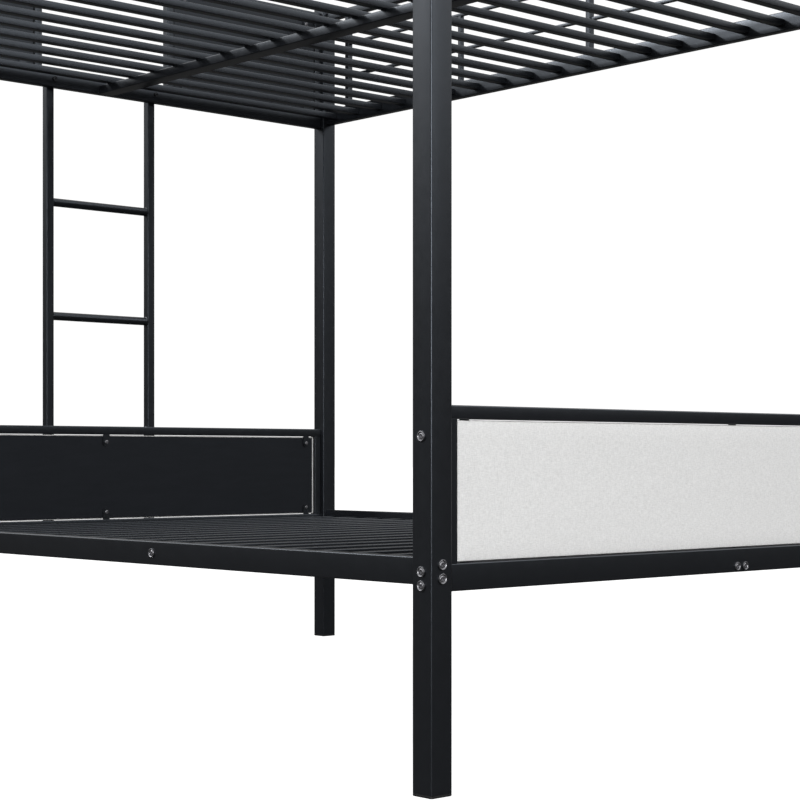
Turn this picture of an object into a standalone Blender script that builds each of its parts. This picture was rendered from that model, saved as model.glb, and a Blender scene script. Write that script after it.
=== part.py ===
"""Twin-deck bunk bed with a fixed end ladder: square steel tube, bolted at the corner posts.

Metres, +Z up. X runs along the bed, with the ladder at the -X end, and Y across it, with the
front at -Y. The origin is on the floor, under the middle of the whole bed.
"""

import math

import bmesh
import bpy
from mathutils import Matrix, Vector

# Overall frame, measured over the outer faces of the posts.
BED_LENGTH = 1.980
BED_WIDTH = 1.430
BED_HEIGHT = 1.700
POST = 0.041
POST_WALL = 0.0015
POST_ROUND = 0.003
CAP_FLANGE = 0.004
CAP_PLUG = 0.030
FIT = 0.0003
OVERCUT = 0.010

# Rails, frames and decks. Levels are heights above the floor.
TUBE = 0.020
TUBE_WALL = 0.0015
RAIL_HEIGHT = 0.040
END_PLATE = 0.003
LOWER_LEVEL = 0.290
UPPER_LEVEL = 1.366
SIDE_RAIL_STEP = 0.010
LOWER_FRAME_HEIGHT = 0.267
UPPER_FRAME_HEIGHT = 0.310
GATE_CLEAR = 0.356

# Slatted decks.
BEAM_WIDTH = 0.040
BEAM_HEIGHT = 0.020
SLATS = 21
SLAT_PITCH = 0.0916
SLAT_WIDTH = 0.020
SLAT_HEIGHT = 0.014
SLAT_WALL = 0.0012
SLAT_CRIMP = 0.002
SLAT_TUCK = 0.004
SLOT_FIT = 0.0004

# Guard rails on the upper deck.
GUARD_BARS = (1.497, 1.583)
GUARD_BAR = 0.008
GUARD_STILE_X = 0.868
GUARD_STILE = 0.015
GUARD_SLIM_X = -0.434
GUARD_SLIM = 0.012

# Padded panels, their boards and the tabs that hold them.
PANEL_GAP = 0.0012
PANEL_THICK = 0.013
PANEL_RECESS = 0.001
BOARD_THICK = 0.003
BOARD_INSET_Y = 0.007
BOARD_INSET_Z = 0.0025
TAB_THICK = 0.002
TAB_WIDE = 0.018
TAB_LONG = 0.027
TAB_CORNER_Y = 0.623
TAB_GATE_Y = 0.230

# Ladder.
LADDER_HALF = 0.144
LADDER_FOOT = 0.255
RUNGS = 4
RUNG_FIRST = 0.274
RUNG_STEP = 0.2737
RUNG_RADIUS = 0.010
RUNG_WALL = 0.0015

# Fasteners.
BOLT_RADIUS = 0.004
BOLT_HOLE = 0.0046
BOLT_HEAD = 0.0075
BOLT_HEAD_HIGH = 0.0045
BOLT_HEAD_CROWN = 0.6
BOLT_HEAD_EDGE = 0.4
BOLT_SPACING = 0.020
NUT_PLATE = 0.006
NUT_PLATE_FIT = 0.0006
NUT_GRIP = 0.0042
LADDER_BOLT_RADIUS = 0.003
LADDER_BOLT_HOLE = 0.0036
LADDER_BOLT_HEAD = 0.006
LADDER_BOLT_GRIP = 0.030
ROUND_SIDES = 10
RUNG_SIDES = 16
CORNER_STEPS = 2

HALF_X = BED_LENGTH / 2
HALF_Y = BED_WIDTH / 2
POST_X = HALF_X - POST / 2
POST_Y = HALF_Y - POST / 2
LADDER_X = -(POST_X + TUBE + FIT)
HEAD_OUT = HALF_X + FIT + BOLT_HEAD_HIGH
LADDER_OUT = TUBE / 2 - LADDER_X
SHIFT_X = (LADDER_OUT - HEAD_OUT) / 2
BETWEEN_POSTS_X = 2 * (HALF_X - POST - FIT)
BETWEEN_POSTS_Y = 2 * (HALF_Y - POST - FIT)

X_SIDES = (("head", 1), ("ladder", -1))
Y_SIDES = (("front", -1), ("back", 1))
CORNERS = [(x, y) for x in X_SIDES for y in Y_SIDES]
LEVELS = (("lower", LOWER_LEVEL), ("upper", UPPER_LEVEL))


def clear_scene():
    for old in list(bpy.data.objects):
        bpy.data.objects.remove(old)


def make_material(name, colour, roughness, metallic):
    material = bpy.data.materials.new(name)
    material.use_nodes = True
    shader = material.node_tree.nodes["Principled BSDF"]
    shader.inputs["Base Color"].default_value = (*colour, 1.0)
    shader.inputs["Roughness"].default_value = roughness
    shader.inputs["Metallic"].default_value = metallic
    material.diffuse_color = (*colour, 1.0)
    return material


def box(centre, size):
    """A box as its low and high corners."""
    half = [s / 2 for s in size]
    low = tuple(c - h for c, h in zip(centre, half))
    high = tuple(c + h for c, h in zip(centre, half))
    return low, high


def shrunk(block, walls):
    """The block with its faces moved in by each axis's wall, or out where that is negative."""
    low = tuple(v + wall for v, wall in zip(block[0], walls))
    high = tuple(v - wall for v, wall in zip(block[1], walls))
    return low, high


def block_mesh(solids, hollows):
    """One closed mesh: the union of the solid blocks, less the hollow ones."""
    axes = []
    for axis in range(3):
        cuts = sorted(round(end[axis], 6) for block in solids + hollows for end in block)
        axes.append([c for i, c in enumerate(cuts) if i == 0 or c - cuts[i - 1] > 1e-6])
    middles = [[(a + b) / 2 for a, b in zip(cuts, cuts[1:])] for cuts in axes]

    def inside(cell):
        if any(i < 0 or i >= len(m) for i, m in zip(cell, middles)):
            return False
        point = [m[i] for i, m in zip(cell, middles)]

        def holds(block):
            return all(block[0][k] < point[k] < block[1][k] for k in range(3))

        return any(map(holds, solids)) and not any(map(holds, hollows))

    filled = {
        (i, j, k): inside((i, j, k))
        for i in range(len(middles[0]))
        for j in range(len(middles[1]))
        for k in range(len(middles[2]))
    }
    mesh = bmesh.new()
    points = {}
    corner_steps = ((0, 0), (1, 0), (1, 1), (0, 1))

    def vertex(key):
        if key not in points:
            points[key] = mesh.verts.new([axes[n][key[n]] for n in range(3)])
        return points[key]

    for cell, full in filled.items():
        if not full:
            continue
        for axis in range(3):
            u, v = (axis + 1) % 3, (axis + 2) % 3
            for side in (0, 1):
                other = list(cell)
                other[axis] += 1 if side else -1
                if filled.get(tuple(other), False):
                    continue
                corners = []
                for du, dv in corner_steps:
                    key = list(cell)
                    key[axis] += side
                    key[u] += du
                    key[v] += dv
                    corners.append(vertex(tuple(key)))
                mesh.faces.new(corners if side else corners[::-1])
    bmesh.ops.dissolve_limit(mesh, angle_limit=0.001, verts=mesh.verts[:], edges=mesh.edges[:])
    return mesh


def rounded_square(half, rounding):
    """Corner points of a square with rounded corners, anticlockwise."""
    points = []
    for corner in range(4):
        sx = 1 if corner in (0, 3) else -1
        sy = 1 if corner in (0, 1) else -1
        for step in range(CORNER_STEPS + 1):
            angle = math.radians(90 * corner + 90 * step / CORNER_STEPS)
            x = sx * (half - rounding) + rounding * math.cos(angle)
            y = sy * (half - rounding) + rounding * math.sin(angle)
            points.append((x, y))
    return points


def extrude_rings(levels):
    """A closed mesh from rings of equal count stacked at (points, z), first to last, ends capped."""
    mesh = bmesh.new()
    rows = [[mesh.verts.new((x, y, z)) for x, y in points] for points, z in levels]
    for below, above in zip(rows, rows[1:]):
        for i, vert in enumerate(below):
            j = (i + 1) % len(below)
            mesh.faces.new((vert, below[j], above[j], above[i]))
    mesh.faces.new(rows[0][::-1])
    mesh.faces.new(rows[-1])
    return mesh


def circle(radius, sides=ROUND_SIDES):
    angles = [math.tau * i / sides for i in range(sides)]
    return [(radius * math.cos(angle), radius * math.sin(angle)) for angle in angles]


def rod(radius, low, high, sides=ROUND_SIDES):
    return extrude_rings([(circle(radius, sides), low), (circle(radius, sides), high)])


def turned(mesh, direction, at):
    """The mesh with its +Z turned to the direction, then moved."""
    turn = Vector(direction).to_track_quat("Z", "Y").to_matrix().to_4x4()
    bmesh.ops.transform(mesh, matrix=Matrix.Translation(at) @ turn, verts=mesh.verts[:])
    return mesh


def to_object(name, mesh, material=None):
    data = bpy.data.meshes.new(name)
    mesh.to_mesh(data)
    mesh.free()
    made = bpy.data.objects.new(name, data)
    bpy.context.scene.collection.objects.link(made)
    if material:
        data.materials.append(material)
    return made


def linked(name, data, parent):
    """A further object that shares its mesh."""
    made = bpy.data.objects.new(name, data)
    bpy.context.scene.collection.objects.link(made)
    made.parent = parent
    return made


def joined(meshes):
    """Several meshes as one, still separate bodies: for cutters and for unions."""
    whole = bmesh.new()
    for mesh in meshes:
        part = bpy.data.meshes.new("part")
        mesh.to_mesh(part)
        mesh.free()
        whole.from_mesh(part)
        bpy.data.meshes.remove(part)
    return whole


def combine(target, mesh, operation):
    """Adds a Boolean whose tool is a hidden helper."""
    helper = to_object(f"{target.name}_{operation.lower()}_{len(target.modifiers)}", mesh)
    helper.hide_render = True
    helper.display_type = "WIRE"
    helper.parent = target.parent
    helper.location = target.location
    boolean = target.modifiers.new(operation.title(), "BOOLEAN")
    boolean.operation = operation
    boolean.solver = "EXACT"
    boolean.object = helper


def smooth(target, degrees=40):
    target.data.shade_smooth()
    target.data.set_sharp_from_angle(angle=math.radians(degrees))
    return target


def holes(radius, places, direction, length):
    """Drills of one radius, each centred on its place."""
    return joined([turned(rod(radius, -length / 2, length / 2), direction, place) for place in places])


def bolt_heights(level):
    """The two bolt heights of a rail that sits at this level."""
    middle = level + RAIL_HEIGHT / 2
    return (middle - BOLT_SPACING / 2, middle + BOLT_SPACING / 2)


def build_posts(root, steel):
    low, high = CAP_FLANGE + FIT, BED_HEIGHT - CAP_FLANGE - FIT
    outer = rounded_square(POST / 2, POST_ROUND)
    inner = rounded_square(POST / 2 - POST_WALL, POST_ROUND - POST_WALL)
    side_heights = [z for _, level in LEVELS for z in bolt_heights(level + SIDE_RAIL_STEP)]
    end_heights = [z for _, level in LEVELS for z in bolt_heights(level)]
    drill_length = POST + OVERCUT
    for (x_name, x_side), (y_name, y_side) in CORNERS:
        post = to_object(f"post_{x_name}_{y_name}", extrude_rings([(outer, low), (outer, high)]), steel)
        post.location = (x_side * POST_X, y_side * POST_Y, 0)
        post.parent = root
        combine(post, extrude_rings([(inner, low - OVERCUT), (inner, high + OVERCUT)]), "DIFFERENCE")
        side_drills = holes(BOLT_HOLE, [(0, 0, z) for z in side_heights], (1, 0, 0), drill_length)
        end_drills = holes(BOLT_HOLE, [(0, 0, z) for z in end_heights], (0, 1, 0), drill_length)
        combine(post, joined([side_drills, end_drills]), "DIFFERENCE")
        smooth(post)


def build_caps(root, plastic):
    flange = rounded_square(POST / 2, POST_ROUND)
    plug = rounded_square(POST / 2 - POST_WALL - FIT, POST_ROUND / 2)
    rings = [(flange, 0), (flange, CAP_FLANGE), (plug, CAP_FLANGE), (plug, CAP_PLUG)]
    pattern = smooth(to_object("cap", extrude_rings(rings), plastic))
    for (x_name, x_side), (y_name, y_side) in CORNERS:
        for kind, flip, height in (("foot_cap", 0, 0), ("top_cap", math.pi, BED_HEIGHT)):
            cap = linked(f"{kind}_{x_name}_{y_name}", pattern.data, root)
            cap.location = (x_side * POST_X, y_side * POST_Y, height)
            cap.rotation_euler = (flip, 0, 0)
    bpy.data.objects.remove(pattern)


def slat_places():
    return [SLAT_PITCH * (i - (SLATS - 1) / 2) for i in range(SLATS)]


def build_side_rails(root, steel):
    slot_wide = SLAT_WIDTH - 2 * SLAT_CRIMP + 2 * SLOT_FIT
    slot_high = SLAT_HEIGHT - 2 * SLAT_CRIMP + 2 * SLOT_FIT
    for level_name, level in LEVELS:
        low = level + SIDE_RAIL_STEP
        slat_middle = level + BEAM_HEIGHT + SLAT_HEIGHT / 2
        for y_name, y_side in Y_SIDES:
            tube = box((0, y_side * POST_Y, low + RAIL_HEIGHT / 2), (BETWEEN_POSTS_X, TUBE, RAIL_HEIGHT))
            hollows = [shrunk(tube, (END_PLATE, TUBE_WALL, TUBE_WALL))]
            wall_y = y_side * (POST_Y - TUBE / 2 + TUBE_WALL / 2)
            for x in slat_places():
                hollows.append(box((x, wall_y, slat_middle), (slot_wide, 2 * TUBE_WALL, slot_high)))
            rail = to_object(f"side_rail_{level_name}_{y_name}", block_mesh([tube], hollows), steel)
            rail.parent = root
            ends = (-BETWEEN_POSTS_X / 2, BETWEEN_POSTS_X / 2)
            places = [(x, y_side * POST_Y, z) for x in ends for z in bolt_heights(low)]
            combine(rail, holes(BOLT_HOLE, places, (1, 0, 0), END_PLATE + OVERCUT), "DIFFERENCE")


def tab_blocks(x_side, places_y, low, high):
    """Flat tabs on the inner side of an end frame, standing into the panel opening."""
    x = x_side * (POST_X - TUBE / 2 + TAB_THICK / 2)
    size = (TAB_THICK, TAB_WIDE, TAB_LONG)
    return [box((x, y, z), size) for y in places_y for z in (low + TAB_LONG / 2, high - TAB_LONG / 2)]


def end_frame(name, root, steel, x_side, level, height, gate):
    """A welded end frame: bottom rail, side tubes, top rail and tabs. A gate leaves its middle open."""
    half = BETWEEN_POSTS_Y / 2
    x = x_side * POST_X
    low, high = level + RAIL_HEIGHT, level + height - TUBE
    bottom = box((x, 0, level + RAIL_HEIGHT / 2), (TUBE, BETWEEN_POSTS_Y, RAIL_HEIGHT))
    solids = [bottom]
    hollows = [shrunk(bottom, (TUBE_WALL, END_PLATE, TUBE_WALL))]
    stiles = [(-half, -half + TUBE), (half - TUBE, half)]
    spans = [(-half, half)]
    tabs_y = [-TAB_CORNER_Y, 0, TAB_CORNER_Y]
    if gate:
        stiles += [(-gate / 2 - TUBE, -gate / 2), (gate / 2, gate / 2 + TUBE)]
        spans = [(-half, -gate / 2), (gate / 2, half)]
        tabs_y = [-TAB_CORNER_Y, -TAB_GATE_Y, TAB_GATE_Y, TAB_CORNER_Y]
    for y_low, y_high in stiles:
        solids.append(((x - TUBE / 2, y_low, level), (x + TUBE / 2, y_high, level + height)))
        wall_low = END_PLATE if y_low == -half else TUBE_WALL
        wall_high = END_PLATE if y_high == half else TUBE_WALL
        inner_low = (x - TUBE / 2 + TUBE_WALL, y_low + wall_low, low - 2 * TUBE_WALL)
        inner_high = (x + TUBE / 2 - TUBE_WALL, y_high - wall_high, level + height - TUBE_WALL)
        hollows.append((inner_low, inner_high))
    for y_low, y_high in spans:
        top = ((x - TUBE / 2, y_low, high), (x + TUBE / 2, y_high, high + TUBE))
        solids.append(top)
        hollows.append(shrunk(top, (TUBE_WALL, TUBE_WALL, TUBE_WALL)))
    solids += tab_blocks(x_side, tabs_y, low, high)
    frame = to_object(name, block_mesh(solids, hollows), steel)
    frame.parent = root
    ends = [(x, y, z) for y in (-half, half) for z in bolt_heights(level)]
    combine(frame, holes(BOLT_HOLE, ends, (0, 1, 0), END_PLATE + OVERCUT), "DIFFERENCE")
    if x_side < 0:
        places = [(x, y_side * LADDER_HALF, level + RAIL_HEIGHT / 2) for _, y_side in Y_SIDES]
        combine(frame, holes(LADDER_BOLT_HOLE, places, (1, 0, 0), TUBE + OVERCUT), "DIFFERENCE")


def build_panel(name, root, cloth, board, x_side, opening_y, opening_z):
    """A padded panel and the board behind it, in the opening given by its limits in Y and Z."""
    outer = POST_X + TUBE / 2 - PANEL_RECESS
    middle = (sum(opening_y) / 2, sum(opening_z) / 2)
    size = [limits[1] - limits[0] - 2 * PANEL_GAP for limits in (opening_y, opening_z)]
    pad_x = x_side * (outer - PANEL_THICK / 2)
    pad = to_object(f"panel_{name}", block_mesh([box((pad_x, *middle), (PANEL_THICK, *size))], []), cloth)
    pad.parent = root
    board_x = x_side * (outer - PANEL_THICK - FIT - BOARD_THICK / 2)
    board_size = (BOARD_THICK, size[0] - 2 * BOARD_INSET_Y, size[1] - 2 * BOARD_INSET_Z)
    back = to_object(f"board_{name}", block_mesh([box((board_x, *middle), board_size)], []), board)
    back.parent = root


def build_ends(root, steel, cloth, board):
    inner = BETWEEN_POSTS_Y / 2 - TUBE
    gate_post = GATE_CLEAR / 2 + TUBE
    whole = (-inner, inner)
    for level_name, level in LEVELS:
        height = LOWER_FRAME_HEIGHT if level_name == "lower" else UPPER_FRAME_HEIGHT
        opening_z = (level + RAIL_HEIGHT, level + height - TUBE)
        for x_name, x_side in X_SIDES:
            end = f"{level_name}_{x_name}"
            gate = GATE_CLEAR if end == "upper_ladder" else 0
            end_frame(f"end_frame_{end}", root, steel, x_side, level, height, gate)
            if gate:
                build_panel(f"{end}_front", root, cloth, board, x_side, (-inner, -gate_post), opening_z)
                build_panel(f"{end}_back", root, cloth, board, x_side, (gate_post, inner), opening_z)
            else:
                build_panel(end, root, cloth, board, x_side, whole, opening_z)


def build_decks(root, steel):
    """A deck is one centre beam with slats welded across it, whose crimped ends enter the side rails."""
    beam_size = (2 * (POST_X - TUBE / 2 - FIT), BEAM_WIDTH, BEAM_HEIGHT)
    rail_face = POST_Y - TUBE / 2
    slat_size = (SLAT_WIDTH, 2 * (rail_face - FIT), SLAT_HEIGHT)
    crimp_length = 2 * (rail_face + TUBE_WALL + SLAT_TUCK)
    crimp_size = (SLAT_WIDTH - 2 * SLAT_CRIMP, crimp_length, SLAT_HEIGHT - 2 * SLAT_CRIMP)
    for level_name, level in LEVELS:
        beam = box((0, 0, level + BEAM_HEIGHT / 2), beam_size)
        solids = [beam]
        hollows = [shrunk(beam, (-OVERCUT, TUBE_WALL, TUBE_WALL))]
        slat_middle = level + BEAM_HEIGHT + SLAT_HEIGHT / 2
        for x in slat_places():
            slat = box((x, 0, slat_middle), slat_size)
            crimp = box((x, 0, slat_middle), crimp_size)
            solids += [slat, crimp]
            hollows.append(shrunk(slat, (SLAT_WALL, SLAT_WALL, SLAT_WALL)))
            hollows.append(shrunk(crimp, (SLAT_WALL, -OVERCUT, SLAT_WALL)))
        deck = to_object(f"slat_deck_{level_name}", block_mesh(solids, hollows), steel)
        deck.parent = root


def build_guards(root, steel):
    """A welded guard between the posts, standing on the upper side rail. Its two long bars are solid."""
    foot = UPPER_LEVEL + SIDE_RAIL_STEP + RAIL_HEIGHT + FIT
    top = UPPER_LEVEL + UPPER_FRAME_HEIGHT
    for y_name, y_side in Y_SIDES:
        y = y_side * POST_Y
        top_bar = box((0, y, top - TUBE / 2), (BETWEEN_POSTS_X, TUBE, TUBE))
        solids = [top_bar]
        hollows = [shrunk(top_bar, (-OVERCUT, TUBE_WALL, TUBE_WALL))]
        for x in (-GUARD_STILE_X, 0, GUARD_STILE_X):
            stile = box((x, y, (foot + top) / 2), (GUARD_STILE, GUARD_STILE, top - foot))
            solids.append(stile)
            inner_low, inner_high = shrunk(stile, (TUBE_WALL, TUBE_WALL, TUBE_WALL))
            hollows.append(((*inner_low[:2], foot - OVERCUT), inner_high))
        spans = ((-GUARD_STILE_X, 0), (0, GUARD_STILE_X))
        for middle in GUARD_BARS:
            for x_low, x_high in spans:
                length = x_high - x_low - GUARD_STILE + TUBE_WALL
                solids.append(box(((x_low + x_high) / 2, y, middle), (length, GUARD_BAR, GUARD_BAR)))
        slim_size = (GUARD_SLIM, GUARD_SLIM, GUARD_BARS[-1] - foot)
        solids.append(box((GUARD_SLIM_X, y, (foot + GUARD_BARS[-1]) / 2), slim_size))
        guard = to_object(f"guard_rail_{y_name}", block_mesh(solids, hollows), steel)
        guard.parent = root


def rungs(radius, length):
    """A round bar or bore of this radius at each rung's place."""
    bars = []
    for i in range(RUNGS):
        bar = rod(radius, -length / 2, length / 2, RUNG_SIDES)
        bars.append(turned(bar, (0, 1, 0), (LADDER_X, 0, RUNG_FIRST + RUNG_STEP * i)))
    return joined(bars)


def build_ladder(root, steel):
    high = UPPER_LEVEL + RAIL_HEIGHT
    size = (TUBE, TUBE, high - LADDER_FOOT)
    middle = (LADDER_FOOT + high) / 2
    left, right = [box((LADDER_X, side * LADDER_HALF, middle), size) for _, side in Y_SIDES]
    ladder = to_object("ladder", block_mesh([left], []), steel)
    ladder.parent = root
    combine(ladder, block_mesh([right], []), "UNION")
    combine(ladder, rungs(RUNG_RADIUS, 2 * LADDER_HALF - TUBE + TUBE_WALL), "UNION")
    for rail in (left, right):
        combine(ladder, block_mesh([shrunk(rail, (TUBE_WALL, TUBE_WALL, -OVERCUT))], []), "DIFFERENCE")
    combine(ladder, rungs(RUNG_RADIUS - RUNG_WALL, 2 * LADDER_HALF), "DIFFERENCE")
    inner_wall = LADDER_X + TUBE / 2
    heights = [level + RAIL_HEIGHT / 2 for _, level in LEVELS]
    places = [(inner_wall, side * LADDER_HALF, z) for _, side in Y_SIDES for z in heights]
    combine(ladder, holes(LADDER_BOLT_HOLE, places, (1, 0, 0), OVERCUT), "DIFFERENCE")
    smooth(ladder)


def bolt_levels(radius, head, grip):
    """A button-head bolt along +Z from its head: the underside of the head is at 0."""
    return [
        (circle(head * BOLT_HEAD_CROWN), -BOLT_HEAD_HIGH),
        (circle(head), -BOLT_HEAD_HIGH * BOLT_HEAD_EDGE),
        (circle(head), 0),
        (circle(radius), 0),
        (circle(radius), grip),
    ]


def bolt_pair_mesh(zinc):
    """Two bolts along +Z, spaced in Y: through a post, into one nut plate inside the rail's end."""
    plate_low = POST + FIT + END_PLATE + 2 * FIT
    walls = 2 * (TUBE_WALL + NUT_PLATE_FIT)
    size = (TUBE - walls, RAIL_HEIGHT - walls, NUT_PLATE)
    pair = to_object("bolt_pair", block_mesh([box((0, 0, plate_low + NUT_PLATE / 2), size)], []), zinc)
    levels = bolt_levels(BOLT_RADIUS, BOLT_HEAD, plate_low + NUT_GRIP)
    bolts = [turned(extrude_rings(levels), (0, 0, 1), (0, y * BOLT_SPACING / 2, -FIT)) for y in (-1, 1)]
    combine(pair, joined(bolts), "UNION")
    bpy.context.view_layer.update()
    graph = bpy.context.evaluated_depsgraph_get()
    mesh = bpy.data.meshes.new_from_object(pair.evaluated_get(graph), depsgraph=graph)
    for modifier in pair.modifiers:
        bpy.data.objects.remove(modifier.object)
    bpy.data.objects.remove(pair)
    return mesh


def build_bolts(root, zinc):
    pattern = smooth(bpy.data.objects.new("bolt_pattern", bolt_pair_mesh(zinc)))
    for (x_name, x_side), (y_name, y_side) in CORNERS:
        for level_name, level in LEVELS:
            middle = level + RAIL_HEIGHT / 2
            side_at = (x_side * HALF_X, y_side * POST_Y, middle + SIDE_RAIL_STEP)
            end_at = (x_side * POST_X, y_side * HALF_Y, middle)
            pairs = (("side", side_at, (-x_side, 0, 0)), ("end", end_at, (0, -y_side, 0)))
            for kind, at, direction in pairs:
                pair = linked(f"{kind}_bolts_{level_name}_{x_name}_{y_name}", pattern.data, root)
                along = Vector(direction)
                up = Vector((0, 0, 1))
                pair.rotation_euler = Matrix((up.cross(along), up, along)).transposed().to_euler()
                pair.location = at
    bpy.data.objects.remove(pattern)


def build_ladder_bolts(root, zinc):
    levels = bolt_levels(LADDER_BOLT_RADIUS, LADDER_BOLT_HEAD, LADDER_BOLT_GRIP)
    pattern = smooth(to_object("ladder_bolt", extrude_rings(levels), zinc))
    for level_name, level in LEVELS:
        for y_name, y_side in Y_SIDES:
            bolt = linked(f"ladder_bolt_{level_name}_{y_name}", pattern.data, root)
            bolt.rotation_euler = (0, -math.pi / 2, 0)
            bolt.location = (FIT - POST_X + TUBE / 2, y_side * LADDER_HALF, level + RAIL_HEIGHT / 2)
    bpy.data.objects.remove(pattern)


def main():
    clear_scene()
    steel = make_material("black_steel", (0.020, 0.021, 0.024), 0.42, 0.0)
    cloth = make_material("linen_cloth", (0.72, 0.72, 0.71), 0.95, 0.0)
    board = make_material("black_board", (0.012, 0.012, 0.013), 0.80, 0.0)
    zinc = make_material("bolt_steel", (0.30, 0.30, 0.31), 0.35, 1.0)
    plastic = make_material("black_plastic", (0.015, 0.015, 0.016), 0.55, 0.0)
    root = bpy.data.objects.new("bed", None)
    bpy.context.scene.collection.objects.link(root)
    root.location = (SHIFT_X, 0, 0)
    build_posts(root, steel)
    build_caps(root, plastic)
    build_side_rails(root, steel)
    build_ends(root, steel, cloth, board)
    build_decks(root, steel)
    build_guards(root, steel)
    build_ladder(root, steel)
    build_bolts(root, zinc)
    build_ladder_bolts(root, zinc)


main()
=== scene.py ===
"""Looks of the bunk bed: rounded and welded steel tube, padded linen panels, boards and fasteners.

Metres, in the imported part's frame: X along the bed (ladder at -X), Y across it (front at -Y).
"""

import math

import bmesh
import bpy
from mathutils import Matrix, Vector, noise


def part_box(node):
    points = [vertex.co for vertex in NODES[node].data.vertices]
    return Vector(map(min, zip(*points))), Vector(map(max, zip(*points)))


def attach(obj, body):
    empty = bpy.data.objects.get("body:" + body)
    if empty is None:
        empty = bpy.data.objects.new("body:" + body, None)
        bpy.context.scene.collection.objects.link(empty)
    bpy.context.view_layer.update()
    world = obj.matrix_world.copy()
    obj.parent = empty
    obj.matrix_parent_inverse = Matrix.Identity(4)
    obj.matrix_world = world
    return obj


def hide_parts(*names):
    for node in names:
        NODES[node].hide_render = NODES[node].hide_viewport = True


# Sections and places that the frame's boxes don't give by themselves.
TUBE = 0.020
RAIL_HEIGHT = 0.040
POST_ROUND = 0.0030
TUBE_ROUND = 0.0020
SLAT_ROUND = 0.0012
CAP_FLANGE = 0.004
CAP_STEP = 0.0021
END_CHAMFER = 0.0004
ARC_STEPS = 5
SLATS = 21
SLAT_PITCH = 0.0916
SLAT_WIDTH = 0.020
SLAT_HEIGHT = 0.014
SLAT_CRIMP = 0.002
SLAT_CLEARANCE = 0.0003
CRIMP_CLEARANCE = 0.0002
CRIMP_ROUND = 0.0015
SLOT_FIT = 0.0004
SLOT_DEEP = 0.006
SLOT_ROUND = 0.0012
BEAM_WIDTH = 0.040
BEAM_HEIGHT = 0.020
GUARD_BAR = 0.008
GUARD_STILE = 0.015
GUARD_STILE_X = 0.868
GUARD_SLIM_X = -0.434
GUARD_SLIM = 0.012
GUARD_BARS = (1.497, 1.583)
GUARD_BAR_ROUND = 0.0015
RUNGS = 4
RUNG_FIRST = 0.274
RUNG_STEP = 0.2737
RUNG_RADIUS = 0.010
RUNG_SUNK = 0.001
TAB_THICK = 0.002
TAB_WIDE = 0.018
TAB_LONG = 0.027
TAB_CORNER_Y = 0.623
TAB_GATE_Y = 0.230
PANEL_GAP = 0.0012
# How far the rim of a ladder tube's end plug is drawn in, and how high it stands.
PLUG_PROFILE = ((0.0020, 0.0016), (0.0011, 0.0012), (0.0006, 0.0004), (0.0006, 0.0))
PLUG_ROUND = 0.0018

# Fasteners. A bolt has a head radius, a head height, a socket's half width and a shank radius.
# The CAD's heads stand CAD_HEAD_HIGH out from the tube.
BOLT_SIZES = (0.0078, 0.0024, 0.0026, 0.004)
BEAM_BOLT_SIZES = (0.0072, 0.0024, 0.0024, 0.003)
SMALL_BOLT_SIZES = (0.0060, 0.0022, 0.0020, 0.003)
SCREW_SIZES = (0.0048, 0.0024)
CAD_HEAD_HIGH = 0.0045
RING_POINTS = 48
BOLT_SPACING = 0.020
POST_BOLT_ABOVE_RAIL = 0.182
POST_BOLT_BELOW_TOP = 0.045
BEAM_BOLT_SPACING = 0.0105
GUARD_BOLT_BELOW_TOP = 0.010
BOLTED_SLAT = 3
BOLT_ASIDE = 0.005

# Welds.
BEAD_RADIUS = 0.0017
THIN_BEAD_RADIUS = 0.0013
BEAD_RIPPLE = 0.0013
WELD_LAP = 0.0008
STILE_WELD_INSET = 0.003
STILE_WELD_RISE = 0.0003
GUARD_WELD_INSET = 0.002
SLAT_WELD_SHARE = 0.8
SLAT_WELD_SUNK_Y = 0.0002
SLAT_WELD_SUNK_Z = 0.0004

# Padding.
PAD_GRID = 0.009
PAD_ROUND = 0.0018
PAD_SLACK = 0.0012
PAD_SWELL = 0.0009
PAD_LUMPS = 0.00035
PAD_LUMPS_PER_M = 14
PAD_EASING = 0.03
PAD_LAYERS = (0, 0.12, 0.35, 0.65, 0.88, 1)
PAD_FRAMES = 16
BOARD_LAP = 0.0055
BOARD_ROUND = 0.002

# Colours, each from a darker to a lighter patch. The coat's sheen is a little blue.
COAT_COLOURS = (0.0060, 0.0064, 0.0074), (0.0078, 0.0083, 0.0096)
ZINC_COLOURS = (0.14, 0.14, 0.15), (0.34, 0.34, 0.36)
BLACKED_COLOURS = (0.020, 0.021, 0.023), (0.055, 0.057, 0.062)
PLASTIC_COLOURS = (0.010, 0.010, 0.011), (0.018, 0.018, 0.019)
BOARD_COLOURS = (0.0036, 0.0039, 0.0050), (0.0085, 0.0092, 0.0115)
YARN_COLOURS = (0.66, 0.66, 0.655), (0.97, 0.97, 0.965)
YARN = 0.0011
COOL_SHEEN = (0.84, 0.94, 1.08)

# Camera.
CAMERA_AT = (2.9082, -2.4762, 0.4829)
CAMERA_TURN = math.radians(46.86)
CAMERA_LENS = 83.19
CAMERA_SHIFT = (-0.0612, 0.0709)
CAMERA_FAR = 100
SENSOR = 36

# The light from all round, by height over the horizon, and the white that the camera sees.
DOME_LOW, DOME_HIGH = 0.10, 0.45
DOME_LIGHT = 2.85
DOME_BASE = 0.006
DOME_ROUND = 0.24
DOME_LEAN = -0.03
DOME_AXIS = (-0.73, -0.68)
SEEN_WHITE = 1.05
FLOOR_DULL = 0.055
FLOOR_PALE = 0.30
FLOOR_GLOW = 0.90
FLOOR_REACH = 60

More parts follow.
